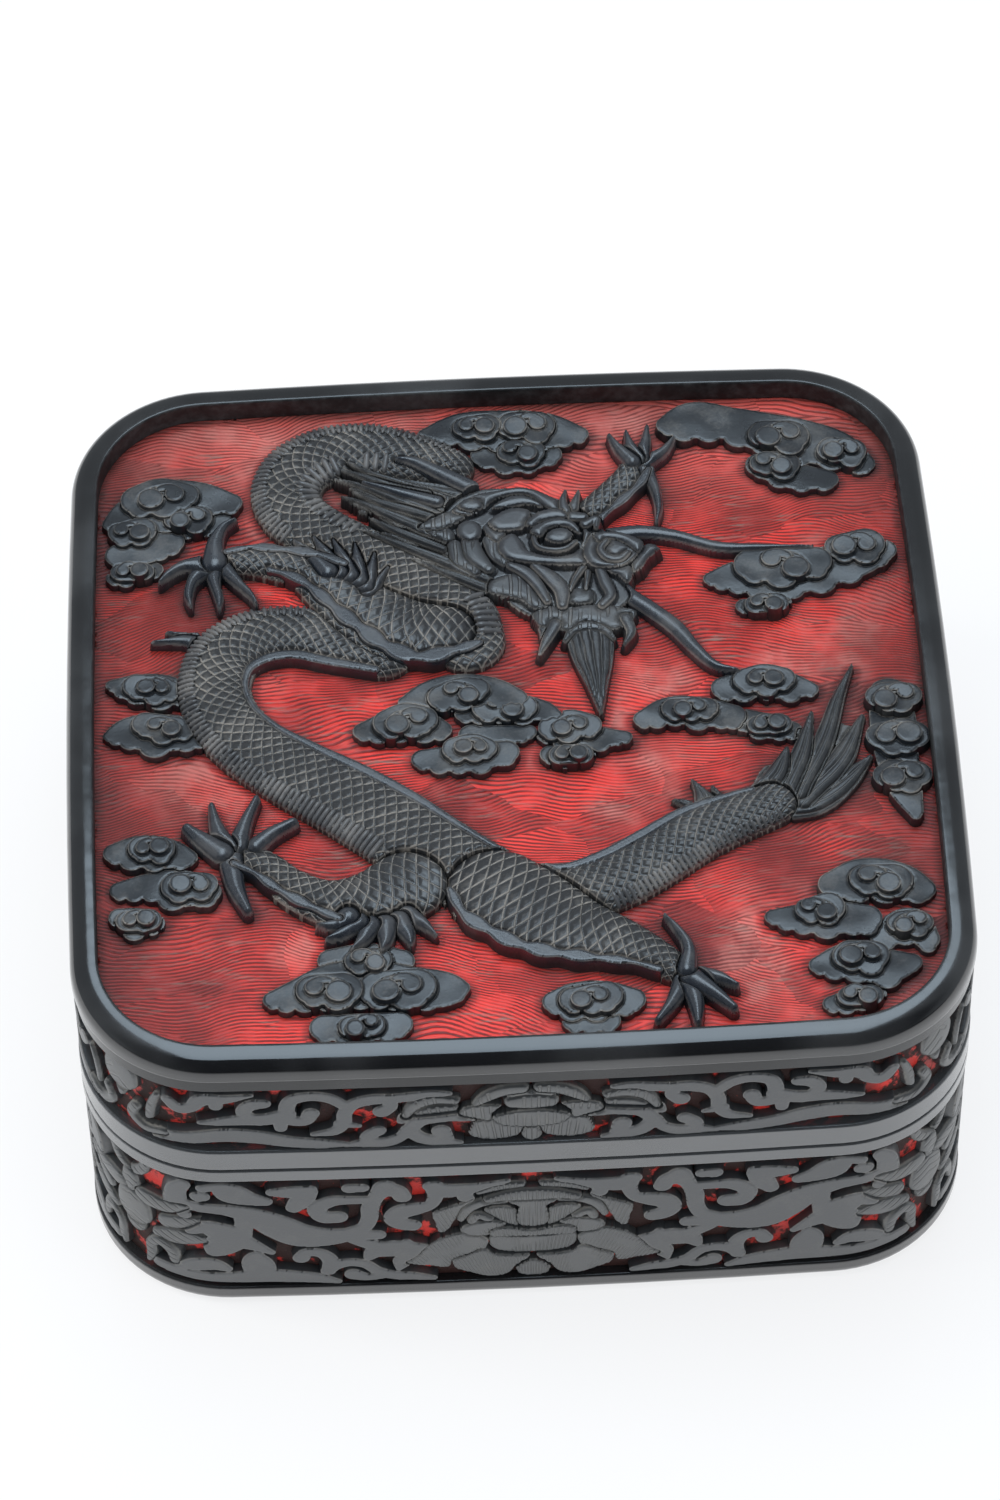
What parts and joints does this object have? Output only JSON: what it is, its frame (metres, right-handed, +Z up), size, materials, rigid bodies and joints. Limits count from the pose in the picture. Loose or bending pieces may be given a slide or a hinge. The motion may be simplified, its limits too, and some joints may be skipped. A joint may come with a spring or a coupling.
{
  "type": "carved lacquer box with lift-off lid",
  "caption": "Square box with bowed sides and a lift-off lid, its black lacquer carved through to red: lotus scroll round the sides, a dragon amid clouds on top.",
  "frame": {"origin": "middle of the resting face, under the foot moulding", "axes": "+Z up through the lid, +Y towards the back, -Y is the front that the picture shows"},
  "size_m": [0.2, 0.2, 0.091],
  "materials": {
    "black_lacquer": "thick carved black lacquer, polished, grey where handling has worn the edges",
    "red_lacquer": "brick red lacquer ground, engraved with fine wavy lines",
    "core_wood": "bare wooden core, hidden under the lacquer",
    "inner_lacquer": "smooth black lacquer of the inside, the lip and the underside"
  },
  "bodies": {
    "base": {"base_foot_moulding": "black_lacquer", "base_underside_lacquer": "inner_lacquer", "base_floor_board": "core_wood", "base_core_wall": "core_wood", "base_mouth_moulding": "black_lacquer", "base_side_ground": "red_lacquer", "base_lining": "inner_lacquer", "base_locating_lip": "inner_lacquer", "base_scroll_front": "black_lacquer", "base_scroll_right": "black_lacquer", "base_scroll_back": "black_lacquer", "base_scroll_left": "black_lacquer", "base_lotus_front": "black_lacquer", "base_lotus_right": "black_lacquer", "base_lotus_back": "black_lacquer", "base_lotus_left": "black_lacquer", "base_corner_blossoms": "black_lacquer"},
    "lid": {"lid_core_wall": "core_wood", "lid_top_board": "core_wood", "lid_mouth_moulding": "black_lacquer", "lid_side_ground": "red_lacquer", "lid_shoulder_band": "black_lacquer", "lid_top_ground": "red_lacquer", "lid_frame_moulding": "black_lacquer", "lid_lining": "inner_lacquer", "lid_scroll_front": "black_lacquer", "lid_scroll_right": "black_lacquer", "lid_scroll_back": "black_lacquer", "lid_scroll_left": "black_lacquer", "lid_lotus_front": "black_lacquer", "lid_lotus_right": "black_lacquer", "lid_lotus_back": "black_lacquer", "lid_lotus_left": "black_lacquer", "lid_corner_blossoms": "black_lacquer", "dragon_head": "black_lacquer", "dragon_horns": "black_lacquer", "dragon_mane": "black_lacquer", "dragon_beard": "black_lacquer", "dragon_whiskers": "black_lacquer", "dragon_left_foreleg": "black_lacquer", "dragon_right_foreleg": "black_lacquer", "dragon_left_hind_leg": "black_lacquer", "dragon_right_hind_leg": "black_lacquer", "dragon_neck": "black_lacquer", "dragon_trunk": "black_lacquer", "dragon_tail_fin": "black_lacquer", "cloud_north_west": "black_lacquer", "cloud_north": "black_lacquer", "cloud_north_east": "black_lacquer", "cloud_east": "black_lacquer", "cloud_west": "black_lacquer", "cloud_west_low": "black_lacquer", "cloud_middle_back": "black_lacquer", "cloud_middle": "black_lacquer", "cloud_middle_right": "black_lacquer", "cloud_east_middle": "black_lacquer", "cloud_east_edge": "black_lacquer", "cloud_south_east": "black_lacquer", "cloud_south": "black_lacquer", "cloud_south_west": "black_lacquer"}
  },
  "joints": [
    {"name": "lid_lift", "type": "slide", "parent": "base", "child": "lid", "axis": [0, 0, 1], "range_m": [0, 0.06]}
  ]
}
